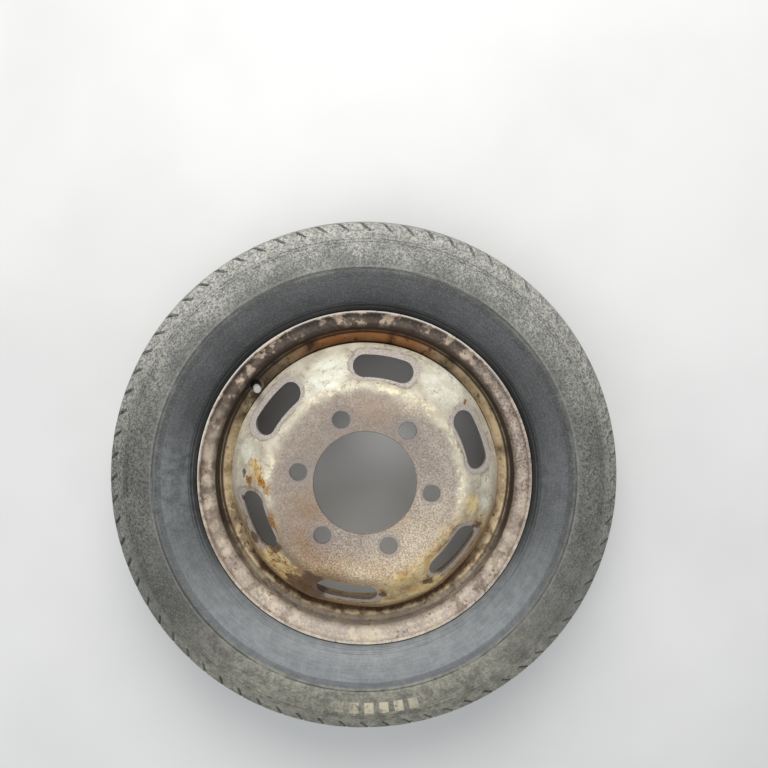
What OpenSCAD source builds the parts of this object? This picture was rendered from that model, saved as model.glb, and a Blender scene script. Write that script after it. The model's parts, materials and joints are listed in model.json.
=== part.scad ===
// Light van wheel: a pressed steel disc welded into a rolled rim, with a worn radial tyre
// and a snap-in valve. The wheel lies flat, with its outboard side up. The origin is on the
// axis, in the plane of the face that bolts to the hub, and +Z points outboard.

/* [Rim] */
// Diameter of the bead seats at their heels
seat_d = 405.6; // [402:0.2:409]
// Width between the flanges
rim_w = 127; // [122:1:132]
// Thickness of the rolled rim
rim_t = 3.5; // [3:0.1:4]
// Height of the flanges over the bead seats
flange_h = 17.5; // [16:0.5:19]
// Outer radius of each flange's curled edge
curl_r = 9.5; // [8.5:0.5:10.5]
// How far the curled edge turns past its top, in degrees
lip_turn = 10; // [0:1:25]
// Radius between the bead seat and the flange
heel_r = 6.5; // [5:0.5:7.5]
// Taper of the bead seats, in degrees
seat_taper = 5; // [3:0.5:6]
// Distance from the flange to the foot of the safety hump
hump_in = 18; // [16:0.5:20]
// Height of the safety humps over the seats
hump_h = 2; // [1:0.1:2.5]
// Axial length of each hump's outer slope
hump_w = 4.5; // [3.5:0.5:6]
// Depth of the well below the bead seats
well_depth = 19.8; // [18:0.2:22]
// Distance from the rim's middle to the outboard edge of the well
well_out = 17.4; // [14:0.2:20]
// Distance from the rim's middle to the inboard edge of the well
well_in = 12; // [8:0.5:16]
// Bend radius at the well's edges
well_bend = 9; // [6:0.5:12]

/* [Disc] */
// Distance from the hub face to the rim's middle
wheel_offset = 110; // [106:1:113]
// Thickness of the flat hub part
hub_t = 10; // [8:0.5:12]
// Thickness of the sloping wall
wall_t = 6.5; // [5:0.5:8]
// Thickness of the skirt inside the rim
skirt_t = 5.5; // [4:0.5:7]
// Distance from the skirt in to where the sloping wall would meet the hub's front face
cone_in = 50.4; // [46:0.2:54]
// Steepness of the sloping wall, in degrees
cone_angle = 54; // [52:0.5:56]
// Outer bend radius between the hub and the wall
hub_bend = 16; // [10:1:20]
// Outer bend radius between the wall and the skirt
skirt_bend = 12; // [8:1:14]
// How far the skirt's end lies past the well's outboard edge
skirt_seat = 19; // [12:0.5:22]
// Gap left between the skirt and the well
press_gap = 0.1; // [0.05:0.05:0.3]
// Diameter of the centre bore
bore_d = 130; // [120:0.5:136]

/* [Hand holes] */
// Number of hand holes, and of the flats pressed round them
hole_count = 6; // [4:1:6]
// Distance from the skirt in to the circle on which the hand holes lie
hole_in = 31.2; // [29:0.1:36]
// Length of each hand hole along that circle
hole_l = 80; // [60:1:86]
// Width of each hand hole
hole_w = 30; // [22:0.5:32]
// How deep each flat is pressed, measured towards the axis
flat_depth = 8; // [4:0.5:9]
// Outer bend radius between the hub and each flat
flat_bend = 21; // [19:1:24]

/* [Stud holes] */
// Number of stud holes
stud_count = 6; // [4:1:6]
// Diameter of the stud circle
stud_circle_d = 170; // [165:0.5:180]
// Diameter of the stud holes
stud_d = 22; // [18:0.5:24]
// Diameter of the faces worn by the nuts' washers
spot_d = 36; // [30:1:40]
// Depth of those faces
spot_t = 0.5; // [0.3:0.1:1]
// Size of the stud holes' and the bore's front chamfer
chamfer = 1; // [0.5:0.1:1.5]

/* [Welds] */
// Number of weld beads behind the skirt
weld_count = 8; // [4:1:12]
// Part of the circle that the beads cover
weld_cover = 0.6; // [0.4:0.05:0.8]
// Leg length of the weld beads
weld_leg = 5; // [3:0.5:6]
// Gap between a bead and the sheets
weld_gap = 0.05; // [0.02:0.01:0.1]

/* [Tyre] */
// Gap between the tyre's beads and the rim
bead_fit = 0.25; // [0.1:0.05:0.4]
// Width of each bead's base
bead_w = 17; // [15:0.5:18]
// Height of the middle of the tread above the bead seats
tyre_h = 144.2; // [140:0.2:148]
// Width over the sidewalls
section_w = 192; // [184:1:200]
// Height above the bead seats at which the sidewalls are widest
belly_h = 65.2; // [60:0.2:70]
// How far each sidewall's foot stands proud of the flange's edge
foot_h = 2.5; // [1.5:0.5:4]
// Width over the feet of the sidewalls
foot_w = 152; // [148:1:156]
// Height above the bead seats at which the sidewall meets the shoulder wall
shoulder_wall_h = 113.2; // [110:0.2:116]
// Width there
shoulder_wall_w = 160; // [154:1:166]
// Width of the tread between its shoulders
tread_w = 126; // [120:1:132]
// Drop of the tread from its middle to its shoulders
tread_drop = 11; // [8:0.5:12]
// Thickness of the sidewalls
sidewall_t = 8; // [6:0.5:10]
// Thickness of the crown under the tread
crown_t = 14; // [13:0.5:17]

/* [Tread] */
// Number of grooves round the tread
groove_count = 4; // [3:1:4]
// Distance between those grooves
groove_pitch = 27; // [22:0.5:29]
// Width of those grooves at the top
groove_w = 8; // [5:0.5:9]
// Width of those grooves at their floor
groove_floor = 5.6; // [3:0.2:6]
// Depth of those grooves
groove_depth = 5.5; // [3:0.5:7]
// Number of slanted slots round each shoulder
slot_count = 72; // [60:1:76]
// Width of the shoulder slots
slot_w = 4.5; // [3:0.5:6]
// Slant of the shoulder slots, in degrees
slot_slant = 34; // [20:1:40]
// How far each slot reaches in over the tread
slot_reach = 17; // [12:0.5:19]
// How far each slot reaches down the shoulder wall
slot_fall = 14; // [10:0.5:16]

/* [Sidewall rings] */
// Heights of the raised rings on each sidewall, above the bead seats
ring_at = [22.7, 27.2, 70.2, 106.2, 110.2];
// Width of those rings
ring_w = 1.6; // [1:0.1:2.5]
// Height of those rings
ring_h = 0.8; // [0.4:0.1:1.2]

/* [Valve] */
// Lean of the valve towards the axis, in degrees
valve_lean = 16; // [12:1:20]
// Distance of the valve hole from the well's outboard corner, up the slope
valve_up = 18.8; // [17:0.2:20]
// Diameter of the valve hole
valve_hole_d = 11.3; // [10.5:0.1:12]
// Diameter of the flat pressed round the valve hole
valve_seat_d = 22; // [20:0.5:23]
// Wall of the pan that is pressed for that flat
pan_wall = 2; // [1.5:0.1:2.5]
// Gap between the valve's rubber and the rim
valve_fit = 0.1; // [0.05:0.05:0.2]
// Diameter of the rubber foot inside the rim
foot_d = 18; // [16.5:0.5:19.5]
// Thickness of that foot
foot_t = 5; // [4:0.5:6]
// Diameter of the rubber shoulder outside the rim
collar_d = 15; // [14:0.5:16.5]
// Height of that shoulder
collar_h = 6; // [4:0.5:8]
// Diameter of the rubber sleeve above it
sleeve_d = 9.4; // [9:0.1:10]
// Where the rubber sleeve ends above the rim
sleeve_top = 21; // [18:0.5:23]
// Where the brass stem ends above the rim
stem_top = 34; // [32:0.5:38]
// Diameter of the brass stem inside the rubber
stem_d = 6.6; // [6:0.1:7]
// Diameter of the stem's threaded end
thread_d = 7.7; // [7.4:0.1:8]
// Gap between the bonded rubber and the brass
bond_gap = 0.02; // [0.01:0.01:0.05]

/* [Valve core] */
// Diameter of the chamber that holds the core
chamber_d = 5.2; // [5:0.1:5.4]
// Depth of that chamber
chamber_depth = 9; // [8:0.5:10]
// Diameter of the air way below the chamber
airway_d = 4.2; // [4:0.1:4.4]
// Gap between the core and its chamber
core_gap = 0.08; // [0.05:0.01:0.1]
// Diameter of the core's pin
pin_d = 1.3; // [1:0.1:1.5]
// Running gap between the pin and its guide
pin_gap = 0.06; // [0.03:0.01:0.09]
// Diameter of the collar that the spring lifts
pin_collar_d = 2.5; // [2.3:0.1:2.7]
// How far the pin can be pushed in
pin_travel = 1.2; // [0.8:0.1:1.5]
// Bore of the core's spring chamber
core_bore_d = 3.4; // [3.2:0.1:3.6]
// Thickness of the web that guides the pin
guide_t = 1.2; // [1:0.1:1.5]
// Free depth of the socket above that web
socket_depth = 1.4; // [1:0.1:1.8]
// Length of the core's nose below its barrel
nose_l = 4; // [3.5:0.1:4.5]
// Width of the ring that seals the nose
gasket_t = 1.6; // [1.2:0.1:2]
// Thickness of the soft seal under the nose
seal_t = 1; // [0.8:0.1:1.2]
// Thickness of the pin's foot under that seal
pin_foot_t = 1; // [0.8:0.1:1.2]
// Wire thickness of the spring
wire_d = 0.32; // [0.25:0.01:0.4]
// Number of turns of the spring
spring_turns = 5; // [4:1:6]

/* [Valve cap] */
// Diameter of the cap
cap_d = 10; // [9.6:0.1:11]
// Height of the cap
cap_h = 13; // [11:0.5:14]
// Thickness of the cap's end
cap_end = 1.6; // [1.2:0.1:2]
// Gap between the cap and the stem's thread
cap_gap = 0.1; // [0.06:0.02:0.12]
// Thickness of the seal in the cap
cap_seal_t = 1.2; // [1:0.1:1.5]
// Number of grip grooves round the cap
grip_count = 16; // [10:1:20]
// Radius of those grooves
grip_r = 0.45; // [0.3:0.05:0.5]

/* [Hidden] */
$fn = 96;
// Gap between pieces that touch, and how far cuts run past the faces they leave
touch = 0.05;
over = 2;
far = 60;
// Edges broken on the valve's rubber and on its small parts
rubber_edge = 1;
small_edge = 0.5;
// Straight steps in each half of the tread's curve, and in its inner side
tread_steps = 8;
inner_steps = 5;
rim_z = -wheel_offset;

function unit(v) = v / norm(v);
function flat(v) = [v[0], v[1]];
function turned(a) = a > 180 ? a - 360 : a < -180 ? a + 360 : a;

// Points on an arc about the point c, from angle a to angle b
function arc(c, r, a, b, n = 8) =
    [for (i = [0 : n]) c + r * [cos(a + (b - a) * i / n), sin(a + (b - a) * i / n)]];

// Points of the round corner q between p and s, where q is [x, y, radius]
function corner(p, q, s) =
    let(
        u = unit(flat(p) - flat(q)),
        v = unit(flat(s) - flat(q)),
        half = acos(u * v) / 2,
        c = flat(q) + unit(u + v) * q[2] / sin(half),
        start = flat(q) + u * q[2] / tan(half) - c,
        end = flat(q) + v * q[2] / tan(half) - c,
        a = atan2(start[1], start[0]),
        b = a + turned(atan2(end[1], end[0]) - a)
    )
    arc(c, q[2], a, b, max(3, ceil(abs(b - a) / 9)));

// A line through the points v, with each inner corner rounded
function bent(v) = [
    flat(v[0]),
    for (i = [1 : len(v) - 2]) each corner(v[i - 1], v[i], v[i + 1]),
    flat(v[len(v) - 1])
];

// The normal of the step from p to q, and the mitre at point i of the line v
function normal(p, q) = let(u = unit(q - p)) [-u[1], u[0]];
function mitre(v, i) =
    let(
        j = max(i, 1),
        k = min(i, len(v) - 2),
        m = normal(v[j - 1], v[j]),
        n = normal(v[k], v[k + 1])
    )
    (m + n) / (1 + m * n);

// The outline of a sheet of thickness t whose middle follows the line v
function sheet(v, t) = concat(
    [for (i = [0 : len(v) - 1]) v[i] + mitre(v, i) * t / 2],
    [for (i = [len(v) - 1 : -1 : 0]) v[i] - mitre(v, i) * t / 2]
);

// The line v on the other side of the rim's middle, run backwards
function other_side(v) = [for (i = [len(v) - 1 : -1 : 0]) [v[i][0], -v[i][1]]];

// The centre of the circle through three points
function centre(p, q, s) =
    let(
        m = (q - p) * (q + p) / 2,
        n = (s - q) * (s + q) / 2,
        d = (q[0] - p[0]) * (s[1] - q[1]) - (q[1] - p[1]) * (s[0] - q[0])
    )
    [(m * (s[1] - q[1]) - n * (q[1] - p[1])) / d, (n * (q[0] - p[0]) - m * (s[0] - q[0])) / d];

// An arc from p through q to s
function through(p, q, s, n) =
    let(
        c = centre(p, q, s),
        a = atan2(p[1] - c[1], p[0] - c[0]),
        b = a + turned(atan2(s[1] - c[1], s[0] - c[0]) - a)
    )
    arc(c, norm(p - c), a, b, n);

// Rim section: radius, then height over the rim's middle
seat_r = seat_d / 2;
curl_c = [seat_r + flange_h - curl_r, rim_w / 2 + curl_r];
heel_c = [seat_r + heel_r, rim_w / 2 - heel_r];
heel_end = heel_c + heel_r * [-cos(seat_taper), sin(seat_taper)];
function seat_at(z) = heel_end[0] - (heel_end[1] - z) * tan(seat_taper);
hump_z = rim_w / 2 - hump_in;
hump_foot = [seat_at(hump_z) - rim_t / 2, hump_z, 5];
hump_top = [hump_foot[0] + hump_h, hump_z - hump_w, 4];
well_edge = [seat_r - well_depth - rim_t / 2, well_out, well_bend];
flange_line = concat(
    arc(curl_c, curl_r - rim_t / 2, lip_turn, -90, 10),
    arc(heel_c, heel_r + rim_t / 2, 90, 180 - seat_taper, 7)
);
seat_line = bent([
    flange_line[len(flange_line) - 1], hump_foot, hump_top, well_edge,
    [well_edge[0], -well_in, well_bend],
    [hump_top[0], -hump_top[1], hump_top[2]],
    [hump_foot[0], -hump_foot[1], hump_foot[2]],
    other_side(flange_line)[0]
]);
rim_line = concat(
    flange_line,
    [for (i = [1 : len(seat_line) - 2]) seat_line[i]],
    other_side(flange_line)
);

// Disc section: radius, then height over the hub face
skirt_r = well_edge[0] - rim_t / 2 - press_gap;
skirt_in = skirt_r - skirt_t;
skirt_end = rim_z + well_out - skirt_seat;
cone_r = skirt_r - cone_in;
wall_shift = wall_t / sin(cone_angle);
back_r = cone_r - wall_shift + hub_t / tan(cone_angle);
back_bend = hub_bend - wall_t;
flat_back_bend = flat_bend - wall_t;
function cone_at(r) = hub_t - (r - cone_r) * tan(cone_angle);
front_line = bent([
    [0, hub_t], [cone_r, hub_t, hub_bend], [skirt_r, cone_at(skirt_r), skirt_bend],
    [skirt_r, skirt_end]
]);
back_line = bent([
    [0, 0], [back_r, 0, back_bend],
    [skirt_in, cone_at(skirt_in + wall_shift), skirt_bend - skirt_t],
    [skirt_in, skirt_end - far]
]);

// The line of a pressed flat, from where its bend starts to a point past the skirt
function flat_line(r, z, bend) =
    let(v = corner([0, z], [r, z, bend], [r + far, z - far * tan(cone_angle)]))
    concat(v, [[r + 2 * far, z - 2 * far * tan(cone_angle)]]);

// Tyre section: radius, then height over the rim's middle
crown_r = seat_r + tyre_h;
side_foot = [seat_r + flange_h + foot_h, foot_w / 2];
belly = [seat_r + belly_h, section_w / 2];
side_top = [seat_r + shoulder_wall_h, shoulder_wall_w / 2];
shoulder = [crown_r - tread_drop, tread_w / 2];
toe_z = rim_w / 2 - bead_w;
side_c = centre(side_foot, belly, side_top);
side_r = norm(belly - side_c);
tread_c = centre([shoulder[0], -shoulder[1]], [crown_r, 0], shoulder);
tread_r = crown_r - tread_c[0];
function tread_at(z) = tread_c[0] + sqrt(tread_r * tread_r - z * z);

// The sidewall's arc, stepped out at each raised ring
function side_angle(r) = acos((r - side_c[0]) / side_r);
ring_a = ring_w / side_r * 90 / PI;
stops = concat(
    [side_angle(side_foot[0])],
    [for (h = ring_at) each [side_angle(seat_r + h) + ring_a, side_angle(seat_r + h) - ring_a]],
    [side_angle(side_top[0])]
);
side_line = [for (i = [0 : 2 : len(stops) - 2]) each concat(
    i == 0 ? [] : [side_c + (side_r + ring_h) * [cos(stops[i]), sin(stops[i])]],
    arc(side_c, side_r, stops[i], stops[i + 1], ceil((stops[i] - stops[i + 1]) / 5)),
    i == len(stops) - 2 ? []
        : [side_c + (side_r + ring_h) * [cos(stops[i + 1]), sin(stops[i + 1])]]
)];
outer_half = concat(
    [[seat_at(toe_z) + bead_fit, toe_z]],
    arc(heel_c, heel_r - bead_fit, 180 - seat_taper, 90, 5),
    arc(curl_c, curl_r + bead_fit, -90, -20, 6),
    side_line,
    [for (i = [tread_steps : -1 : 1]) let(z = shoulder[1] * i / tread_steps) [tread_at(z), z]]
);
inner_half = concat(
    [[seat_at(toe_z) + sidewall_t, toe_z]],
    through([side_foot[0] + sidewall_t, rim_w / 2], belly - [0, sidewall_t],
        side_top - [crown_t, sidewall_t], 14),
    [for (i = [inner_steps : -1 : 1])
        let(z = shoulder[1] * i / tread_steps) [tread_at(z) - crown_t, z]]
);

// Valve, in its own frame: the axis is Z, and 0 is the middle of the rim's sheet
slope = unit(flat(hump_top) - flat(well_edge));
valve_at = flat(well_edge) + slope * valve_up;
pan_tilt = atan2(slope[1], slope[0]) - valve_lean;
seat_top = rim_t / 2;
pan_r = valve_seat_d / 2 + pan_wall;
pan_low = valve_seat_d / 2 * tan(pan_tilt);
core_d = chamber_d - 2 * core_gap;
core_top = stem_top - small_edge;
guide_top = core_top - socket_depth;
chamber_end = stem_top - chamber_depth;
nose_d = airway_d - small_edge - 2 * touch;
nose_end = chamber_end - nose_l;
pin_top = guide_top + pin_travel + small_edge;
collar_top = guide_top - guide_t - touch;
collar_t = small_edge;
seal_top = nose_end - touch;
cap_end_in = stem_top + 2 * touch + cap_seal_t;
cap_base = cap_end_in + cap_end - cap_h;

module at_valve() {
    translate([valve_at[0], 0, rim_z + valve_at[1]]) rotate([0, -valve_lean, 0]) children();
}

// A cylinder between two heights
module rod(d, low, high) {
    translate([0, 0, low]) cylinder(d = d, h = high - low);
}

// A turned piece, from its half section
module turned_piece(v) {
    rotate_extrude() polygon(v);
}

// A solid of revolution with a flat pressed in at each hand hole
module pressed(line, base, flat) {
    edge = flat[len(flat) - 1];
    difference() {
        rotate_extrude() polygon(concat(line, [[0, base]]));
        for (i = [0 : hole_count - 1])
            rotate([90, 0, i * 360 / hole_count])
            translate([0, 0, -far])
            linear_extrude(2 * far)
            polygon(concat(flat, [[edge[0] + far, edge[1]], [edge[0] + far, far],
                [flat[0][0], far]]));
    }
}

module hand_hole() {
    r = skirt_r - hole_in;
    sweep = (hole_l - hole_w) / r * 180 / PI;
    high = 2 * hub_t - skirt_end;
    rotate([0, 0, -sweep / 2]) rotate_extrude(angle = sweep)
        translate([r - hole_w / 2, skirt_end]) square([hole_w, high]);
    for (s = [-1, 1])
        rotate([0, 0, s * sweep / 2]) translate([r, 0, skirt_end])
        cylinder(d = hole_w, h = high);
}

module stud_hole() {
    rod(stud_d, -over, hub_t + over);
    rod(spot_d, hub_t - spot_t, hub_t + over);
    translate([0, 0, hub_t - spot_t - chamfer])
        cylinder(d1 = stud_d, d2 = stud_d + 4 * chamfer, h = 2 * chamfer);
}

module disc() {
    color("#b9b09a") difference() {
        pressed(front_line, skirt_end, flat_line(cone_r - flat_depth, hub_t, flat_bend));
        pressed(back_line, skirt_end - far, flat_line(back_r - flat_depth, 0, flat_back_bend));
        rod(bore_d, -over, hub_t + over);
        translate([0, 0, hub_t - chamfer])
            cylinder(d1 = bore_d, d2 = bore_d + 4 * chamfer, h = 2 * chamfer);
        for (i = [0 : hole_count - 1]) rotate([0, 0, i * 360 / hole_count]) hand_hole();
        for (i = [0 : stud_count - 1])
            rotate([0, 0, (i + 0.5) * 360 / stud_count])
            translate([stud_circle_d / 2, 0, 0]) stud_hole();
    }
}

module disc_welds() {
    a = 360 / weld_count;
    top = skirt_end - weld_gap;
    out = skirt_r + press_gap - weld_gap;
    color("#6d5a4b") for (i = [0 : weld_count - 1])
        rotate([0, 0, (i + 0.5 - weld_cover / 2) * a])
        rotate_extrude(angle = weld_cover * a)
        polygon([[out, top], [out, top - weld_leg],
            [out - 0.6 * weld_leg, top - 0.6 * weld_leg], [out - weld_leg, top]]);
}

module rim() {
    color("#7a6a5c") difference() {
        union() {
            translate([0, 0, rim_z]) rotate_extrude() polygon(sheet(rim_line, rim_t));
            at_valve() {
                rod(valve_seat_d, -pan_low, seat_top);
                intersection() {
                    rod(2 * pan_r, -pan_low, 2 * pan_low);
                    rotate([0, -pan_tilt, 0])
                        translate([-far / 2, -far / 2, rim_t / 4 - far])
                        cube([far, far, far]);
                }
            }
        }
        at_valve() {
            rod(valve_seat_d, seat_top, far / 2);
            rod(foot_d + over, -far / 4, -seat_top);
            rod(valve_hole_d, -far / 4, far / 4);
        }
    }
}

// Slots cut from the tread over the shoulder and down its wall
module shoulder_slots() {
    start = [tread_at(shoulder[1] - slot_reach) + over / 2, shoulder[1] - slot_reach];
    down = unit(side_top - shoulder);
    end = shoulder + down * (slot_fall + over) - [down[1], -down[0]] * over;
    run = end - start;
    run_l = norm(run) + 3 * over;
    for (i = [0 : slot_count - 1])
        rotate([0, 0, i * 360 / slot_count])
        translate([(start[0] + end[0]) / 2, 0, (start[1] + end[1]) / 2])
        rotate([0, -atan2(-run[0], run[1]), 0])
        rotate([slot_slant, 0, 0])
        translate([0, -slot_w / 2, -run_l / 2])
        cube([far, slot_w, run_l]);
}

module tyre_section() {
    low = groove_floor / 2;
    high = groove_w / 2 + (groove_w / 2 - low) * over / groove_depth;
    difference() {
        polygon(concat(
            outer_half, [[crown_r, 0]], other_side(outer_half),
            [for (p = inner_half) [p[0], -p[1]]], [[crown_r - crown_t, 0]],
            [for (i = [len(inner_half) - 1 : -1 : 0]) inner_half[i]]
        ));
        for (i = [0 : groove_count - 1])
            translate([tread_at((i - (groove_count - 1) / 2) * groove_pitch) - groove_depth,
                (i - (groove_count - 1) / 2) * groove_pitch])
            polygon([[0, -low], [0, low], [groove_depth + over, high],
                [groove_depth + over, -high]]);
    }
}

module tyre() {
    color("#4b4b4a") translate([0, 0, rim_z]) difference() {
        rotate_extrude() tyre_section();
        shoulder_slots();
        rotate([0, 0, 180 / slot_count]) mirror([0, 0, 1]) shoulder_slots();
    }
}

module valve_body() {
    low = -seat_top - valve_fit;
    high = seat_top + valve_fit;
    in = stem_d / 2 + bond_gap;
    foot = foot_d / 2;
    hole = valve_hole_d / 2 - valve_fit;
    collar = collar_d / 2;
    sleeve = sleeve_d / 2;
    color("#26262a") at_valve() turned_piece([
        [in, low - foot_t], [foot - rubber_edge, low - foot_t],
        [foot, low - foot_t + 2 * rubber_edge], [foot, low - rubber_edge],
        [foot - rubber_edge, low], [hole, low], [hole, high], [collar, high],
        [collar, high + 2 * rubber_edge], [collar - rubber_edge, high + 3 * rubber_edge],
        [sleeve + small_edge, high + collar_h], [sleeve, high + collar_h + 2 * rubber_edge],
        [sleeve, sleeve_top - small_edge], [sleeve - small_edge, sleeve_top], [in, sleeve_top]
    ]);
}

module valve_stem() {
    foot = -seat_top - valve_fit - foot_t;
    color("#a98a55") at_valve() difference() {
        union() {
            rod(stem_d, foot - rubber_edge, stem_top - 2 * small_edge);
            rod(thread_d, sleeve_top + touch, stem_top - small_edge);
            translate([0, 0, stem_top - small_edge])
                cylinder(d1 = thread_d, d2 = thread_d - 2 * small_edge, h = small_edge);
        }
        rod(chamber_d, chamber_end, stem_top + over);
        rod(airway_d, foot - over, chamber_end + over);
    }
}

module core_barrel() {
    color("#c4a564") at_valve() difference() {
        union() {
            rod(core_d, chamber_end + core_gap, core_top);
            rod(nose_d, nose_end, chamber_end + small_edge);
        }
        rod(core_bore_d, chamber_end + small_edge, guide_top - guide_t);
        rod(pin_d + 2 * pin_gap, nose_end - over, core_top + over);
        rod(pin_d + 2 * small_edge, nose_end - over, chamber_end - small_edge);
        rod(core_bore_d, guide_top, core_top + over);
    }
}

module core_gasket() {
    low = (nose_end + chamber_end - gasket_t) / 2;
    color("#c33b30") at_valve() difference() {
        rod(airway_d - 2 * touch, low, low + gasket_t);
        rod(nose_d + 2 * bond_gap, low - over, low + gasket_t + over);
    }
}

module core_pin() {
    foot = seal_top - seal_t - touch;
    color("#d0b277") at_valve() {
        rod(pin_d, foot - pin_foot_t, pin_top);
        rod(pin_collar_d, collar_top - collar_t, collar_top);
        rod(nose_d - small_edge, foot - pin_foot_t, foot);
    }
}

module core_seal() {
    color("#222222") at_valve() difference() {
        rod(nose_d, seal_top - seal_t, seal_top);
        rod(pin_d + 2 * touch, seal_top - seal_t - over, seal_top + over);
    }
}

// The spring: rings of points along a helix, joined to a closed tube
module core_spring() {
    low = chamber_end + small_edge + touch + wire_d / 2;
    high = collar_top - collar_t - touch - wire_d / 2;
    r = (core_bore_d - wire_d) / 2 - 2 * touch;
    sides = 8;
    steps = 14 * spring_turns;
    points = [for (i = [0 : steps], k = [0 : sides - 1])
        let(
            a = i * 360 * spring_turns / steps,
            b = k * 360 / sides,
            out = r + wire_d / 2 * cos(b)
        )
        [out * cos(a), out * sin(a), low + (high - low) * i / steps + wire_d / 2 * sin(b)]];
    walls = [for (i = [0 : steps - 1], k = [0 : sides - 1])
        let(a = i * sides + k, b = i * sides + (k + 1) % sides)
        each [[a, a + sides, b], [b, a + sides, b + sides]]];
    ends = [[for (k = [0 : sides - 1]) k],
        [for (k = [sides - 1 : -1 : 0]) steps * sides + k]];
    color("#9aa0a6") at_valve() polyhedron(points, concat(walls, ends));
}

module valve_cap() {
    out = cap_d / 2;
    top = cap_end_in + cap_end;
    color("#b7b6b2") at_valve() difference() {
        turned_piece([[0, cap_base], [out, cap_base], [out, top - 3 * small_edge],
            [out - small_edge, top - small_edge], [out - 2 * small_edge, top], [0, top]]);
        rod(thread_d + 2 * cap_gap, cap_base - over, cap_end_in);
        for (i = [0 : grip_count - 1])
            rotate([0, 0, i * 360 / grip_count]) translate([out, 0, 0])
            rod(2 * grip_r, cap_base + cap_end, top - cap_end);
    }
}

module cap_seal() {
    low = stem_top + touch;
    color("#2b2b2b") at_valve() rod(thread_d - 2 * cap_gap, low, low + cap_seal_t);
}

tyre();
rim();
disc();
disc_welds();
valve_body();
valve_stem();
core_barrel();
core_gasket();
core_pin();
core_spring();
core_seal();
valve_cap();
cap_seal();
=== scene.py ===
import math

import bmesh
import bpy
from mathutils import Matrix, Vector
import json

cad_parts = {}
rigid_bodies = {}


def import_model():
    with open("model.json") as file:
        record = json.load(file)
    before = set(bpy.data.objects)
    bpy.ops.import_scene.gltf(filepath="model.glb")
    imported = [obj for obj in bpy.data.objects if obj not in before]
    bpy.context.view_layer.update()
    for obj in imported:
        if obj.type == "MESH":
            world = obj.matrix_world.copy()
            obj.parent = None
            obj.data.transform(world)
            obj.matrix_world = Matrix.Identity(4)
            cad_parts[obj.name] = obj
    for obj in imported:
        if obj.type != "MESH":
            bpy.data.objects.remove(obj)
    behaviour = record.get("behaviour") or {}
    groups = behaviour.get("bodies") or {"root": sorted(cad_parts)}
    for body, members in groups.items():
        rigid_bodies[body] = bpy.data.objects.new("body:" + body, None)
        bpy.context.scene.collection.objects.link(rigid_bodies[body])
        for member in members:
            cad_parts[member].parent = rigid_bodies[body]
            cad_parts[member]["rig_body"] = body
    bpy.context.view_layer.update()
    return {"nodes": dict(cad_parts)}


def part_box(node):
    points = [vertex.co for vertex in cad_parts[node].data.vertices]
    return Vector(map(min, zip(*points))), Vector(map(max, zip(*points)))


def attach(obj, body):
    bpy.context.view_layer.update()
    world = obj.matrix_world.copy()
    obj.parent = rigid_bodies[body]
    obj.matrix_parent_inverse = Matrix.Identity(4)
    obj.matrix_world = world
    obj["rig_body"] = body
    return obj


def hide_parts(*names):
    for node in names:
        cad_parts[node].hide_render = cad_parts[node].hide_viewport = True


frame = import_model()
nodes = frame["nodes"]

# The photograph's right and up, in the row frame
PHOTO_TURN = math.radians(140.7)
RIGHT = Vector((math.cos(-PHOTO_TURN), math.sin(-PHOTO_TURN), 0))
UP = Vector((math.cos(math.pi / 2 - PHOTO_TURN), math.sin(math.pi / 2 - PHOTO_TURN), 0))
OUTWARD = Vector((0, 0, 1))
FLOOR_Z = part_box("tyre")[0].z

# Where the camera stands to the photograph's right, up and outward of the wheel's hub face, in metres
EYE = (0.0247, 0.1239, 0.9745)
# The same before its last small move, in millimetres: the worn patches are placed from here
PATCH_EYE = (25.7, 124.1, 974.5)
PIXELS = 768
LENS = SENSOR = 36
# The wheel's axis leans a little in the photograph, about the middle of its outboard flange
LEAN = math.radians(1.1)
FLANGE_Z = -0.0355

# The disc's holes and studs, as the photograph shows them: metres and degrees
HOLES = 6
HOLE_R = 0.150
HOLE_ARC_R = 0.148
HOLE_HALF_ARC = 0.025
HOLE_ANGLE = 20.73
STUD_R = 0.085
STUD_ANGLE = 50.73
STUD_Z = 0.01
# The worn flat round a hole, and the line round it, by the distance from the hole's middle line
FLAT_ENDS = (0.0225, 0.0200)
FLAT_LINE = (0.0196, 0.0214, 0.0220, 0.0236)
# Rings that the nuts' washers left: inner and outer radius, and how strong
WASHER_PRINTS = ((0.0108, 0.0150, 0.5), (0.0184, 0.0196, 0.4))
PRINT_BLUR = 0.0008
# Blocks round the tread
BLOCKS = 96
# Lumps per metre in the small pieces' grain
PLAIN_GRAIN = 900
# Half the floor's width, in metres
FLOOR_HALF = 8.0

# Radii in metres between which one look gives way to the next
# The browner upper part of the hub
UPPER_HUB = (0.104, 0.084)
# The hub's worn face gives way to the skirt's paint
WORN_ENDS = (0.109, 0.124)
# The bend between them
BEND = (0.116, 0.119, 0.124, 0.130)
# Small dark spots begin
SPOTS_START = (0.118, 0.13)
# The skirt's lower edge
SKIRT_EDGE = (0.171, 0.177)
# The gap where the disc goes into the rim, painted near black as shade
CREVICE_SHADE = (0.1835, 0.1815)
# The well gives way to the flange
WELL_ENDS = (0.1980, 0.1990)
# The flange's look reaches further in below, and the dark brown beyond the disc's lower edge, rust with
# painted crevice shade, ends
FLANGE_BELOW = (0.1930, 0.1950)
SUNK_RUST_AND_SHADE = (0.1985, 0.1935)
# A dark line of painted shade in the groove there, and a thin paler one in it
CREASE_SHADE = (0.1925, 0.1945, 0.1992, 0.2000)
CREASE_LIGHT = (0.1961, 0.1965, 0.1969, 0.1973)
# The flange's foot, with painted shade strongest above, and its pale lip, with a painted highlight
FLANGE_FOOT_SHADE = (0.2065, 0.2010)
FLANGE_LIP_HIGHLIGHT = (0.2178, 0.2188)
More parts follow.
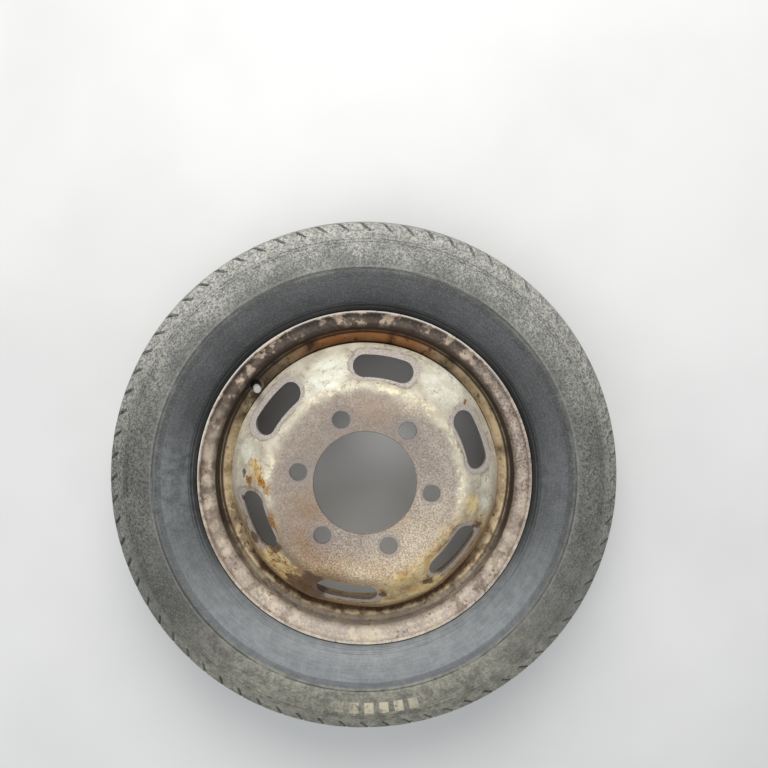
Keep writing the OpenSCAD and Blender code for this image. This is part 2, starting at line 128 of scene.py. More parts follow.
# Painted shade on the tyre's bead against the flange
BEAD_EDGE_SHADE = (0.2222, 0.2212)
BEAD_SHADE = (0.2318, 0.2285)
# Two thin ribs on it: their radii, and half their width at the foot and at the top
RIBS = (0.2256, 0.2288)
RIB_FOOT = 0.0009
RIB_TOP = 0.0003
# A dark ring on the sidewall's smooth band
DARK_RING = (0.2618, 0.2632, 0.2696, 0.2712)
# The smooth band gives way to the dusty one, with painted shade in a moulded step and a painted highlight
# on its crest
BANDS_MEET = (0.268, 0.274)
STEP_SHADE = (0.2722, 0.2730, 0.2738, 0.2746)
STEP_HIGHLIGHT = (0.2750, 0.2758, 0.2765, 0.2775)
# Where the rubber grows duller, dustier, paler above with painted light, more cracked and chalkier outwards
DULLER = (0.262, 0.275)
UPPER_LIGHT_AND_DUST = (0.262, 0.300)
LEFT_DUST = (0.300, 0.330)
CRACKS = (0.262, 0.290)
CRAZE = (0.268, 0.290)
CHALK = (0.25, 0.31)
# Prints of tread blocks, and the shoulder and the tread beyond them
PRINTS = (0.2890, 0.2905, 0.3060, 0.3080)
SHOULDER = (0.306, 0.326)
TREAD = (0.322, 0.332)

# Heights, in millimetres, at which patches are placed
HUB_Z = 10
CREAM_Z = -15
RUST_Z = -20
EDGE_Z = -25


# Materials
class Mat:
    """A node material, with short names for the nodes it is made of.

    Lengths are metres. u and v are the photograph's right and up from the wheel's axis.
    """

    def __init__(self, name):
        self.mat = bpy.data.materials.new(name)
        self.mat.use_nodes = True
        self.t = self.mat.node_tree
        self.t.nodes.clear()
        self.out = self.t.nodes.new("ShaderNodeOutputMaterial")
        self.b = self.t.nodes.new("ShaderNodeBsdfPrincipled")
        self.t.links.new(self.b.outputs[0], self.out.inputs[0])
        turn = self.t.nodes.new("ShaderNodeMapping")
        turn.inputs["Rotation"].default_value = (0, 0, PHOTO_TURN)
        self.put(turn.inputs[0], self.t.nodes.new("ShaderNodeTexCoord").outputs["Object"])
        self.co = turn.outputs[0]
        self.u, self.v, self.z = self.node("ShaderNodeSeparateXYZ", self.co).outputs

    def node(self, kind, *ins, **props):
        n = self.t.nodes.new(kind)
        for k, v in props.items():
            setattr(n, k, v)
        for i, v in enumerate(ins):
            self.put(n.inputs[i], v)
        return n

    def put(self, socket, v):
        if isinstance(v, bpy.types.NodeSocket):
            self.t.links.new(v, socket)
        elif v is not None:
            socket.default_value = v

    # numbers
    def m(self, op, a, b=None, c=None, clamp=False):
        return self.node("ShaderNodeMath", a, b, c, operation=op, use_clamp=clamp).outputs[0]

    def fold(self, op, parts):
        total = parts[0]
        for part in parts[1:]:
            total = self.m(op, total, part)
        return total

    def mul(self, *parts):
        return self.fold("MULTIPLY", parts)

    def add(self, *parts):
        return self.fold("ADD", parts)

    def most(self, *parts):
        return self.fold("MAXIMUM", parts)

    def least(self, *parts):
        return self.fold("MINIMUM", parts)

    def sub(self, a, b, clamp=False):
        return self.m("SUBTRACT", a, b, clamp=clamp)

    def jitter(self, x, noise, amount):
        """x moved by up to half the amount, up or down."""
        return self.add(x, self.mul(self.sub(noise, 0.5), amount))

    def ramp(self, x, lo, hi, a=0.0, b=1.0):
        """A smooth step from a, where x is lo, to b, where x is hi."""
        n = self.t.nodes.new("ShaderNodeMapRange")
        n.interpolation_type = "SMOOTHSTEP"
        self.put(n.inputs[0], x)
        for i, value in enumerate((lo, hi, a, b)):
            self.put(n.inputs[1 + i], value)
        return n.outputs[0]

    def band(self, x, start, full, full_end, end):
        """1 between full and full_end, and 0 before start and after end."""
        return self.mul(self.ramp(x, start, full), self.ramp(x, end, full_end))

    def polar(self):
        """The distance from the axis. The photograph's angle, in radians, is kept as th."""
        self.th = self.m("ARCTAN2", self.v, self.u)
        return self.m("SQRT", self.add(self.mul(self.u, self.u), self.mul(self.v, self.v)))

    def turned(self, degrees):
        """How far round, in radians, a point lies from an angle of the photograph."""
        beyond = self.sub(self.th, math.radians(degrees))
        return self.m("ABSOLUTE", self.m("WRAP", beyond, math.pi, -math.pi))

    def facing(self, mid, half, soft):
        """1 near that angle, in degrees, and 0 away from it."""
        return self.ramp(self.turned(mid), math.radians(half + soft), math.radians(half - soft))

    # textures
    def noise(self, scale, detail=4, rough=0.55, co=None, seed=0.0, lo=None, hi=None, distort=0.0):
        """Noise of that many lumps per metre, spread from 0 at lo to 1 at hi."""
        n = self.t.nodes.new("ShaderNodeTexNoise")
        n.noise_dimensions = "4D"
        self.put(n.inputs["Vector"], co or self.co)
        n.inputs["W"].default_value = seed
        n.inputs["Scale"].default_value = scale
        n.inputs["Detail"].default_value = detail
        n.inputs["Roughness"].default_value = rough
        n.inputs["Distortion"].default_value = distort
        v = n.outputs[0]
        return v if lo is None else self.ramp(v, lo, hi)

    def streaks(self, r, across, along):
        """Coordinates stretched along the wheel's radius and round it."""
        x, y = self.mul(r, across), self.mul(self.th, along)
        return self.node("ShaderNodeCombineXYZ", x, y, 0.0).outputs[0]

    def warp(self, scale, amount, seed=3.0):
        """The object's coordinates, moved about by noise."""
        n = self.t.nodes.new("ShaderNodeTexNoise")
        n.noise_dimensions = "4D"
        self.put(n.inputs["Vector"], self.co)
        n.inputs["W"].default_value = seed
        n.inputs["Scale"].default_value = scale
        n.inputs["Detail"].default_value = 3
        middle = (0.5, 0.5, 0.5)
        off = self.node("ShaderNodeVectorMath", n.outputs["Color"], middle, operation="SUBTRACT").outputs[0]
        off = self.node("ShaderNodeVectorMath", off, operation="SCALE")
        self.put(off.inputs[3], amount)
        return self.node("ShaderNodeVectorMath", self.co, off.outputs[0], operation="ADD").outputs[0]

    def spot(self, co, z, px, py, radius, soft, stretch=1.0, turn=0.0):
        """1 inside a round or long patch about a pixel of the photograph, and 0 outside it.

        z, radius and soft are millimetres, and turn is degrees.
        """
        x, y = at(px, py, z)
        mp = self.t.nodes.new("ShaderNodeMapping")
        mp.vector_type = "TEXTURE"
        self.put(mp.inputs[0], co)
        mp.inputs["Location"].default_value = (x / 1000, y / 1000, 0)
        mp.inputs["Rotation"].default_value = (0, 0, math.radians(turn))
        mp.inputs["Scale"].default_value = (stretch, 1, 1e9)
        d = self.node("ShaderNodeVectorMath", mp.outputs[0], operation="LENGTH").outputs[1]
        return self.ramp(d, (radius + soft) / 1000, (radius - soft) / 1000)

    def patches(self, co, z, rows):
        """The largest of several soft patches."""
        return self.most(*[self.spot(co, z, **row) for row in rows])

    def rusty(self, patch, scale, seed):
        """A soft patch cut by noise, so that its edge is ragged and it breaks into spots."""
        n = self.add(self.mul(patch, 0.5), self.noise(scale, 6, 0.75, seed=seed))
        return self.ramp(n, 0.66, 0.73)

    # colours and the surface
    def mix(self, f, a, b):
        n = self.t.nodes.new("ShaderNodeMix")
        n.data_type = "RGBA"
        self.put(n.inputs[0], f)
        for i, v in ((6, a), (7, b)):
            self.put(n.inputs[i], v if isinstance(v, bpy.types.NodeSocket) else rgb(v))
        return n.outputs[2]

    def over(self, under, color, *masks):
        """A colour laid over another as far as the product of the masks."""
        return self.mix(self.mul(*masks), under, color)

    def bump(self, height, dist, strength):
        n = self.t.nodes.new("ShaderNodeBump")
        n.inputs["Strength"].default_value = strength
        n.inputs["Distance"].default_value = dist
        self.put(n.inputs["Height"], height)
        return n.outputs[0]

    def finish(self, color, rough, normal=None, metal=0.0):
        self.put(self.b.inputs["Base Color"], color)
        self.put(self.b.inputs["Roughness"], rough)
        self.put(self.b.inputs["Metallic"], metal)
        if normal is not None:
            self.put(self.b.inputs["Normal"], normal)
        return self.mat


def rgb(v):
    """Linear colour from sRGB numbers of 0 to 255."""
    c = [x / 255 for x in v]
    return [x / 12.92 if x < 0.04045 else ((x + 0.055) / 1.055) ** 2.4 for x in c] + [1.0]


def at(px, py, z):
    """Where a pixel of the photograph meets the height z, in millimetres right and up of the axis."""
    per_pixel = (PATCH_EYE[2] - z) / PIXELS
    return PATCH_EYE[0] + (px - PIXELS / 2) * per_pixel, PATCH_EYE[1] - (py - PIXELS / 2) * per_pixel


# The disc

# Patches on the disc, by the pixel of the photograph where each has its middle

# Light, brown and warm patches on the worn hub
LIGHT = (
    dict(px=408, py=548, radius=30, soft=30, stretch=1.7, turn=40),
    dict(px=432, py=500, radius=16, soft=22),
    dict(px=360, py=574, radius=12, soft=14, stretch=2.0),
    dict(px=410, py=400, radius=12, soft=16, stretch=1.4, turn=-30),
)
BROWN = (
    dict(px=306, py=510, radius=20, soft=26),
    dict(px=303, py=545, radius=20, soft=20, stretch=1.4, turn=-50),
    dict(px=322, py=580, radius=18, soft=16, stretch=1.5, turn=-20),
)
WARM = (
    dict(px=372, py=405, radius=12, soft=18, stretch=1.6),
    dict(px=400, py=520, radius=8, soft=12),
    dict(px=342, py=452, radius=8, soft=12),
)
# The whitest paint between the holes
BRIGHT = (
    dict(px=328, py=372, radius=20, soft=6, stretch=1.5, turn=28),
    dict(px=443, py=386, radius=20, soft=6, stretch=1.5, turn=-42),
    dict(px=247, py=452, radius=15, soft=6, stretch=0.7),
    dict(px=487, py=506, radius=10, soft=6, stretch=0.8),
    dict(px=305, py=392, radius=8, soft=5),
    dict(px=489, py=484, radius=9, soft=8, stretch=0.7),
)
# Crusts of yellow paint with rust in them, and gold at the lower right
CRUSTS = (
    dict(px=280, py=567, radius=17, soft=7, stretch=1.7, turn=-48),
    dict(px=257, py=468, radius=15, soft=9, stretch=0.6, turn=20),
)
GOLD = (
    dict(px=470, py=502, radius=10, soft=14, stretch=0.8),
    dict(px=432, py=560, radius=8, soft=12, stretch=3.4, turn=40),
    dict(px=400, py=578, radius=8, soft=12, stretch=2, turn=25),
    dict(px=425, py=590, radius=10, soft=12, stretch=2, turn=25),
)
# Golden brown beside the left holes
SIDE = (
    dict(px=273, py=515, radius=9, soft=10, stretch=0.55, turn=15),
    dict(px=252, py=490, radius=7, soft=8),
    dict(px=296, py=566, radius=8, soft=9, stretch=0.8, turn=20),
    dict(px=269, py=488, radius=10, soft=9, stretch=0.55, turn=5),
)
# Orange rust
ORANGE = (
    dict(px=302, py=588, radius=5, soft=10, stretch=1.6, turn=-35),
    dict(px=264, py=480, radius=4, soft=10, stretch=0.8),
    dict(px=248, py=480, radius=4, soft=9),
    dict(px=272, py=520, radius=5, soft=12, stretch=0.5, turn=15),
    dict(px=262, py=500, radius=3, soft=10, stretch=0.6),
    dict(px=466, py=402, radius=1, soft=8),
    dict(px=488, py=500, radius=2, soft=7, stretch=0.6),
    dict(px=472, py=528, radius=2, soft=9, stretch=1.4),
    dict(px=380, py=590, radius=2, soft=9, stretch=1.2, turn=60),
    dict(px=425, py=583, radius=2, soft=8, stretch=1.4),
)
# Dark brown round the lower holes' ends
ENDS = (
    dict(px=303, py=591, radius=14, soft=9, stretch=2.0, turn=-38),
    dict(px=314, py=578, radius=10, soft=9, stretch=1.5, turn=-30),
    dict(px=250, py=542, radius=7, soft=10, stretch=0.6, turn=20),
    dict(px=276, py=546, radius=6, soft=9, stretch=1.2, turn=50),
    dict(px=382, py=594, radius=4, soft=8, stretch=1.2, turn=70),
    dict(px=478, py=527, radius=4, soft=7, stretch=1.6),
    dict(px=428, py=583, radius=5, soft=7, stretch=1.2),
    dict(px=322, py=590, radius=7, soft=10, stretch=1.6, turn=-10),
    dict(px=243, py=472, radius=3, soft=7, stretch=0.6),
    dict(px=310, py=572, radius=4, soft=12, stretch=1.4, turn=-50),
    dict(px=240, py=500, radius=3, soft=7, stretch=0.5),
)


def worn_hub(k, r, warp, salt, mott):
    """Greyish brown: speckled and lighter at the lower right, browner at the lower left."""
    calm = k.ramp(k.sub(k.v, k.u), -0.06, 0.06, 1.0, 0.5)
    soft = k.jitter(0.5, salt, calm)
    hub = k.mix(soft, (120, 108, 96), (184, 170, 156))
    smear = k.noise(90, 7, 0.75, seed=64, distort=0.6, lo=0.4, hi=0.6)
    hub = k.over(hub, k.mix(soft, (106, 93, 81), (150, 137, 123)), smear, 0.6)
    pits = k.noise(210, 5, 0.7, seed=87, lo=0.57, hi=0.63)
    hub = k.over(hub, (98, 82, 70), pits, 0.45)
    wide = k.noise(16, 4, 0.55, seed=41, lo=0.4, hi=0.62)
    hub = k.over(hub, k.mix(soft, (144, 136, 128), (166, 158, 150)), wide, 0.4)
    upper = k.mul(k.ramp(k.v, -0.03, 0.05), k.ramp(r, *UPPER_HUB))
    hub = k.over(hub, k.mix(soft, (100, 88, 78), (142, 128, 116)), upper, 0.4)
    below = k.ramp(k.add(k.v, k.mul(mott, 0.03)), -0.06, -0.11)
    hub = k.over(hub, k.mix(salt, (138, 104, 68), (212, 182, 134)), below, 0.85)
    light = k.patches(warp, HUB_Z, LIGHT)
    hub = k.over(hub, k.mix(salt, (158, 140, 118), (222, 208, 182)), light, 0.8)
    brown = k.patches(warp, HUB_Z, BROWN)
    hub = k.over(hub, k.mix(soft, (106, 80, 56), (152, 122, 88)), brown, 0.75)
    warm = k.patches(warp, HUB_Z, WARM)
    return k.over(hub, (172, 140, 110), warm, 0.3)


def from_holes_and_studs(k, r):
    """The distances from the nearest hand hole's middle line, and from the nearest stud's axis."""
    across = k.sub(r, HOLE_R)
    from_holes, from_studs = [], []
    for i in range(HOLES):
        turn = 360 / HOLES * i
        around = k.turned(HOLE_ANGLE + turn)
        beyond = k.most(k.sub(k.mul(around, HOLE_ARC_R), HOLE_HALF_ARC), 0.0)
        from_holes.append(k.m("SQRT", k.add(k.mul(beyond, beyond), k.mul(across, across))))
        a = math.radians(STUD_ANGLE + turn)
        axis = (STUD_R * math.cos(a), STUD_R * math.sin(a), STUD_Z)
        from_studs.append(k.node("ShaderNodeVectorMath", k.co, axis, operation="DISTANCE").outputs[1])
    return k.least(*from_holes), k.least(*from_studs)


def skirt_paint(k, warp, hole, salt, mott, blot):
    """Cream paint, whitest above and tan below, with a greyer worn flat round each hole."""
    cream = k.mix(blot, (186, 176, 156), (210, 203, 184))
    cream = k.over(cream, (160, 146, 128), salt, 0.3)
    bright = k.patches(warp, CREAM_Z, BRIGHT)
    cream = k.over(cream, k.mix(blot, (214, 210, 188), (234, 234, 220)), bright, 0.92)
    vein = k.m("ABSOLUTE", k.sub(k.noise(30, 5, 0.6, seed=88), 0.5))
    vein = k.mul(k.ramp(vein, 0.016, 0.004), k.noise(50, 4, seed=89, lo=0.42, hi=0.6))
    cream = k.over(cream, (134, 112, 88), vein, 0.6)
    tan = k.mix(blot, (172, 138, 92), (222, 198, 148))
    tan = k.over(tan, (128, 94, 56), k.noise(330, 5, 0.75, seed=63, lo=0.5, hi=0.58), 0.7)
    lower = k.ramp(k.add(k.v, k.mul(mott, 0.04)), 0.0, -0.05)
    cream = k.over(cream, tan, lower, 0.9)
    flat = k.mix(salt, (164, 154, 146), (200, 192, 184))
    flat = k.over(flat, k.mix(salt, (150, 132, 122), (196, 180, 168)), lower, 0.6)
    skirt = k.mix(k.ramp(hole, *FLAT_ENDS), cream, flat)
    line = k.mul(k.band(hole, *FLAT_LINE), k.noise(45, 4, seed=43, lo=0.38, hi=0.6))
    return k.over(skirt, k.mix(lower, (140, 124, 106), (104, 68, 44)), line, 0.75)


def disc_paint():
    k = Mat("disc_paint")
    warp = k.warp(22, 0.014)
    fine = k.warp(110, 0.007, seed=8)
    r = k.polar()
    edge = k.jitter(r, k.noise(34, 7, 0.72, seed=2), 0.040)
    grain = k.noise(420, 4, 0.65, seed=4)
    salt = k.noise(480, 4, 0.7, seed=5, lo=0.38, hi=0.62)
    mott = k.noise(60, 7, 0.7, seed=5)
    blot = k.ramp(mott, 0.38, 0.6)
    hole, stud = from_holes_and_studs(k, r)
    hole = k.jitter(hole, k.noise(70, 5, 0.7, seed=61), 0.010)
    hole = k.jitter(hole, k.noise(25, 3, seed=62), 0.016)
    # the worn middle reaches the holes at the lower left
    worn = k.sub(edge, k.mul(k.facing(-112, 30, 22), 0.034))
    col = k.mix(k.ramp(worn, *WORN_ENDS), worn_hub(k, r, warp, salt, mott),
                skirt_paint(k, warp, hole, salt, mott, blot))
    # pale yellow paint kept in flecks along the bend
    top = k.most(k.facing(88, 42, 20), k.facing(10, 26, 16), k.facing(178, 14, 10))
    flecks = k.mul(k.band(edge, *BEND), k.noise(110, 5, 0.72, seed=12, lo=0.48, hi=0.58))
    col = k.over(col, (232, 224, 184), flecks, k.ramp(top, 0, 1, 0.05, 0.8))
    # prints of the nuts' washers
    for lo, hi, amount in WASHER_PRINTS:
        col = k.over(col, (132, 124, 126), k.band(stud, lo, lo + PRINT_BLUR, hi, hi + PRINT_BLUR), amount)
    # ragged crusts of yellow paint with crisp rust spots in them, and gold at the lower right
    gold = k.rusty(k.patches(fine, RUST_Z, CRUSTS + GOLD), 110, 47)
    col = k.over(col, k.mix(blot, (206, 170, 106), (232, 212, 160)), gold, 0.88)
    crust = k.mul(k.patches(fine, RUST_Z, CRUSTS), k.noise(120, 6, 0.7, seed=81, lo=0.52, hi=0.56))
    col = k.over(col, k.mix(grain, (104, 56, 22), (158, 98, 44)), crust, 0.9)
    # golden brown beside the left holes, and orange rust
    side = k.patches(fine, RUST_Z, SIDE)
    side = k.mul(side, k.noise(90, 6, 0.7, seed=90, lo=0.4, hi=0.54))
    col = k.over(col, k.mix(salt, (112, 72, 34), (176, 134, 78)), side, 0.85)
    orange = k.rusty(k.patches(fine, RUST_Z, ORANGE), 130, 14)
    rust = k.mix(k.noise(230, 6, 0.75, seed=15, lo=0.42, hi=0.56), (88, 52, 22), (188, 136, 66))
    col = k.mix(orange, col, rust)
    # dark brown along the lower edge, round the lower holes' ends and in small spots
    rim_side = k.jitter(r, mott, 0.03)
    dark = k.mul(k.ramp(rim_side, *SKIRT_EDGE), 0.75, k.ramp(k.v, 0.02, -0.08))
    ends = k.rusty(k.patches(fine, EDGE_Z, ENDS), 120, 71)
    spots = k.mul(k.noise(140, 5, 0.7, seed=49, lo=0.61, hi=0.65), 0.8, k.ramp(edge, *SPOTS_START))
    dark = k.most(dark, ends, spots)
    col = k.over(col, k.mix(grain, (58, 38, 26), (112, 78, 54)), dark, 0.85)
    rough = k.add(0.5, k.mul(grain, 0.3))
    height = k.sub(k.sub(k.add(k.mul(salt, 0.25), mott), k.mul(dark, 0.5)), k.mul(orange, 0.3))
    return k.finish(col, rough, k.bump(height, 0.0009, 0.6))


# The rim
def flange_paint(k, r, low, salt):
    """Brown and cream: near black with pale flecks above, beige with brown blotches below."""
    top = k.facing(100, 60, 35)
    right = k.facing(20, 35, 30)
    flange = k.mix(k.noise(42, 5, 0.6, seed=52, lo=0.42, hi=0.58), (112, 94, 80), (182, 168, 148))
    flange = k.over(flange, k.mix(salt, (112, 96, 86), (190, 176, 164)), right, 0.7)
    flecks = k.noise(48, 6, 0.62, seed=26, lo=0.5, hi=0.58)
    black = k.mix(salt, (36, 26, 21), (78, 62, 52))
    flange = k.over(flange, k.mix(flecks, black, (184, 164, 142)), top, 0.9)
    pale = k.mix(salt, (168, 154, 142), (194, 184, 170))
    pale = k.over(pale, (214, 200, 176), k.noise(30, 7, 0.7, seed=83, lo=0.5, hi=0.58), 0.8)
    blots = k.mul(k.noise(62, 5, 0.6, seed=84, lo=0.53, hi=0.58), k.facing(-38, 26, 18))
    pale = k.over(pale, k.mix(salt, (104, 86, 74), (142, 126, 112)), blots, 0.85)
    worn = k.mul(k.facing(-140, 24, 16), k.noise(46, 6, 0.7, seed=93, lo=0.5, hi=0.56))
    pale = k.mix(worn, pale, k.mix(salt, (128, 112, 98), (160, 144, 130)))
    flange = k.over(flange, pale, low, 0.9)
    left = k.mul(k.facing(178, 16, 14), k.noise(50, 6, 0.65, seed=92, lo=0.46, hi=0.56))
    flange = k.over(flange, (82, 68, 58), left, 0.7)
    # painted shade at the flange's foot, strongest above
    foot_shade = k.ramp(r, *FLANGE_FOOT_SHADE)
    return k.over(flange, (52, 38, 30), foot_shade, k.ramp(k.v, -0.1, 0.15, 0.15, 0.75))


def well_paint(k, mott):
    """Beige with dark blotches and streaks, sooty at the upper left and orange at the top."""
    well = k.mix(k.ramp(mott, 0.36, 0.6), (160, 138, 104), (214, 192, 156))
    lower = k.mix(k.ramp(mott, 0.4, 0.56), (140, 116, 88), (228, 206, 168))
    well = k.over(well, lower, k.ramp(k.v, 0.05, -0.12), 0.85)
    soot = k.mul(k.facing(142, 18, 12), k.noise(40, 5, 0.65, seed=91, lo=0.34, hi=0.52))
    well = k.over(well, (60, 46, 36), soot, 0.75)
    orange = k.mul(k.facing(90, 28, 12), k.noise(36, 4, seed=54, lo=0.2, hi=0.5))
    well = k.mix(orange, well, k.mix(mott, (150, 96, 54), (204, 146, 92)))
    dark = k.mul(k.noise(44, 5, 0.65, seed=28, lo=0.6, hi=0.66), 0.8)
    for angle, half in ((53, 2.6), (79, 1.2), (113, 2.8), (199, 2.0), (-51, 1.8), (10, 1.6)):
        dark = k.most(dark, k.mul(k.facing(angle, half, 2.2), k.ramp(mott, 0.42, 0.54)))
    return k.over(well, (46, 32, 24), dark, 0.9)


def rim_paint():
    k = Mat("rim_paint")
    r = k.polar()
    grain = k.noise(380, 4, 0.65, seed=24)
    mott = k.noise(55, 7, 0.72, seed=25)
    salt = k.noise(300, 5, 0.75, seed=57, lo=0.42, hi=0.6)
    low = k.facing(-88, 62, 32)
    flange = flange_paint(k, r, low, salt)
    col = k.mix(k.ramp(r, *WELL_ENDS), well_paint(k, mott), flange)
    # painted shade: a dark line in the groove where the flange meets the well, with a thin paler one in it;
    # faint below
    line = k.band(r, *CREASE_SHADE)
    line = k.sub(line, k.mul(k.band(r, *CREASE_LIGHT), 0.5))
    col = k.over(col, flange, k.ramp(r, *FLANGE_BELOW), low, 0.8)
    col = k.over(col, (38, 28, 23), line, k.ramp(k.v, -0.17, -0.04, 0.2, 0.9))
    # dark brown below the disc's lower edge, rust deepened with painted crevice shade, and near black
    # painted shade where the disc goes in
    rust_and_crevice_shade = k.mul(k.ramp(k.add(r, k.mul(mott, 0.010)), *SUNK_RUST_AND_SHADE), k.ramp(k.v, -0.06, -0.13))
    col = k.over(col, k.mix(salt, (58, 36, 24), (108, 78, 54)), rust_and_crevice_shade, 0.9)
    col = k.over(col, (20, 16, 14), k.ramp(r, *CREVICE_SHADE), 0.95)
    # pale edge of the flange with a painted highlight, strongest at the upper left, and small dark spots
    lip_highlight = k.mul(k.ramp(r, *FLANGE_LIP_HIGHLIGHT), k.ramp(k.facing(110, 70, 25), 0, 1, 0.12, 0.85))
    col = k.mix(lip_highlight, col, (206, 202, 194))
    col = k.over(col, (66, 46, 34), k.noise(90, 6, 0.7, seed=30, lo=0.58, hi=0.64), 0.7)
    rough = k.add(0.45, k.mul(grain, 0.3))
    return k.finish(col, rough, k.bump(k.add(mott, k.mul(grain, 0.3)), 0.0013, 0.7))


# The tyre
def inner_band(k, r, low, mott, veil, grain, craze):
    """Smooth: near black above, and blue-grey below with a painted sheen, with faint lines round the wheel
    and fine crazing.
    """
    speck = k.ramp(grain, 0.38, 0.64)
    base = k.mix(k.ramp(mott, 0.3, 0.7), k.mix(speck, (38, 39, 39), (60, 61, 61)),
                 k.mix(speck, (50, 52, 53), (78, 80, 81)))
    # painted sheen: blue-grey below, where the smooth rubber reflects the lamp; the lines and crazing are
    # paler there too
    base = k.over(base, k.mix(k.ramp(veil, 0.35, 0.65), (118, 122, 124), (140, 144, 145)), low, 0.75)
    rings = k.noise(520, 3, 0.6, co=k.streaks(r, 1.0, 0.012), seed=66, lo=0.36, hi=0.64)
    base = k.over(base, k.mix(low, (90, 92, 94), (158, 161, 163)), rings, 0.25)
    base = k.over(base, k.mix(low, (34, 35, 36), (86, 90, 92)), craze, 0.35)
    sides = k.most(k.facing(182, 14, 12), k.mul(k.facing(0, 8, 10), 0.5))
    base = k.over(base, (122, 126, 128), sides, k.ramp(veil, 0.35, 0.6, 0.1, 0.6))
    return k.over(base, (38, 40, 40), k.band(r, *DARK_RING), 0.4)


def outer_band(k, mott, veil):
    """Dusty: olive at the foot and dark at the lower left."""
    outer = k.mix(k.ramp(mott, 0.3, 0.7), (84, 85, 82), (116, 116, 110))
    outer = k.over(outer, (72, 73, 70), k.facing(-135, 20, 24), 0.95)
    foot = k.mix(k.ramp(veil, 0.38, 0.6), (118, 116, 104), (168, 164, 148))
    return k.over(outer, foot, k.ramp(k.v, -0.14, -0.27), 0.8)


def tyre_rubber():
    k = Mat("tyre_rubber")
    r = k.polar()
    grain = k.noise(520, 5, 0.7, seed=34)
    salt = k.noise(260, 6, 0.8, seed=36)
    mott = k.noise(26, 6, 0.65, seed=35)
    veil = k.noise(70, 5, 0.7, seed=37)
    craze = k.noise(760, 4, 0.7, co=k.streaks(r, 0.16, 0.27), seed=67, lo=0.52, hi=0.62)
    # below, where the inner band's sheen is painted
    low = k.ramp(k.v, 0.0, -0.22)
    reach = k.jitter(r, mott, 0.008)
    col = k.mix(k.ramp(reach, *BANDS_MEET), inner_band(k, r, low, mott, veil, grain, craze),
                outer_band(k, mott, veil))
    # painted light with pale dust above, where the outer band faces the lamp; pale dust along the shoulder,
    # with more painted light above; and pale dust at the upper left
    upper = k.mul(k.ramp(k.v, 0.0, 0.26), k.ramp(reach, *UPPER_LIGHT_AND_DUST))
    col = k.over(col, k.mix(k.ramp(mott, 0.35, 0.65), (136, 136, 131), (182, 180, 172)), upper, 0.75)
    shoulder = k.mul(k.ramp(reach, *SHOULDER), k.ramp(k.v, -0.3, 0.1, 0.25, 1.0))
    col = k.over(col, k.mix(k.ramp(veil, 0.35, 0.6), (138, 138, 130), (196, 194, 184)), shoulder, 0.5)
    dust = k.mul(k.facing(122, 34, 24), k.ramp(reach, *LEFT_DUST))
    col = k.over(col, (204, 201, 192), dust, 0.35)
    # a speckle of dark cracks with pale chalk between them, both paler above with the painted light
    cracks = k.mul(k.ramp(salt, 0.49, 0.55), k.ramp(reach, *CRACKS, 0.1, 0.85))
    cracks = k.most(cracks, k.mul(craze, k.ramp(reach, *CRAZE, 0.0, 0.5)))
    cracks = k.mul(cracks, k.ramp(k.v, -0.20, 0.0, 0.5, 1.0))
    col = k.mix(cracks, col, k.mix(upper, (54, 54, 52), (86, 86, 83)))
    chalk = k.mul(k.ramp(grain, 0.5, 0.6), k.ramp(r, *CHALK, 0.08, 0.5))
    col = k.mix(chalk, col, k.mix(upper, (150, 149, 140), (212, 210, 202)))
    # painted shade in the moulded step where the two bands meet, and a painted highlight on its crest
    step_shade = k.mul(k.band(r, *STEP_SHADE), k.noise(14, 4, 0.6, seed=85, lo=0.36, hi=0.5))
    col = k.over(col, (36, 37, 37), step_shade, 0.7)
    col = k.over(col, (190, 190, 184), k.band(r, *STEP_HIGHLIGHT), 0.12)
    # chalky prints of tread blocks at the foot
    block = k.mul(k.band(r, *PRINTS), k.ramp(k.m("SINE", k.mul(k.th, BLOCKS)), -0.6, -0.1))
    block = k.mul(block, k.facing(-86, 9, 5), k.noise(80, 5, 0.7, seed=86, lo=0.34, hi=0.5))
    col = k.over(col, (214, 204, 176), block, 0.9)
    # the tread and the side that lies on the floor: plain worn rubber
    tread = k.mul(k.ramp(k.jitter(k.z, mott, 0.06), -0.050, -0.092), k.ramp(r, *TREAD))
    hidden = k.most(tread, k.ramp(k.z, -0.115, -0.140))
    wear = k.mix(k.ramp(mott, 0.35, 0.65), (54, 55, 54), (80, 80, 77))
    wear = k.over(wear, (118, 116, 108), k.ramp(veil, 0.48, 0.62), 0.4)
    wear = k.over(wear, (108, 106, 100), k.ramp(grain, 0.5, 0.62), 0.3)
    col = k.mix(hidden, col, wear)
    # near black painted shade on the bead against the flange, strongest above, with two thin pale ribs
    # above
    bead_shade = k.mul(k.ramp(r, *BEAD_SHADE), k.ramp(k.v, -0.16, -0.02))
    for mid in RIBS:
        rib = k.band(r, mid - RIB_FOOT, mid - RIB_TOP, mid + RIB_TOP, mid + RIB_FOOT)
        bead_shade = k.sub(bead_shade, k.mul(rib, 0.75), clamp=True)
    bead_shade = k.most(k.mul(bead_shade, 0.8), k.ramp(r, *BEAD_EDGE_SHADE))
    col = k.over(col, (14, 14, 14), bead_shade, 0.95)
    rough = k.add(k.ramp(r, *DULLER, 0.34, 0.6), k.mul(grain, 0.25))
    height = k.sub(k.add(k.mul(grain, 0.5), mott), k.mul(cracks, 0.9))
    return k.finish(col, rough, k.bump(height, 0.0008, 0.6))


def plain(name, dark, light, rough, metal=0.0):
    """A small piece's look: two close tones, a fine grain and a little unevenness."""
    k = Mat(name)
    col = k.mix(k.noise(PLAIN_GRAIN, 4, 0.6, lo=0.35, hi=0.65), dark, light)
    r = k.add(rough, k.mul(k.noise(PLAIN_GRAIN * 2, 3, seed=2), 0.15))
    return k.finish(col, r, k.bump(k.noise(PLAIN_GRAIN * 3, 3, seed=5), 0.0002, 0.4), metal)


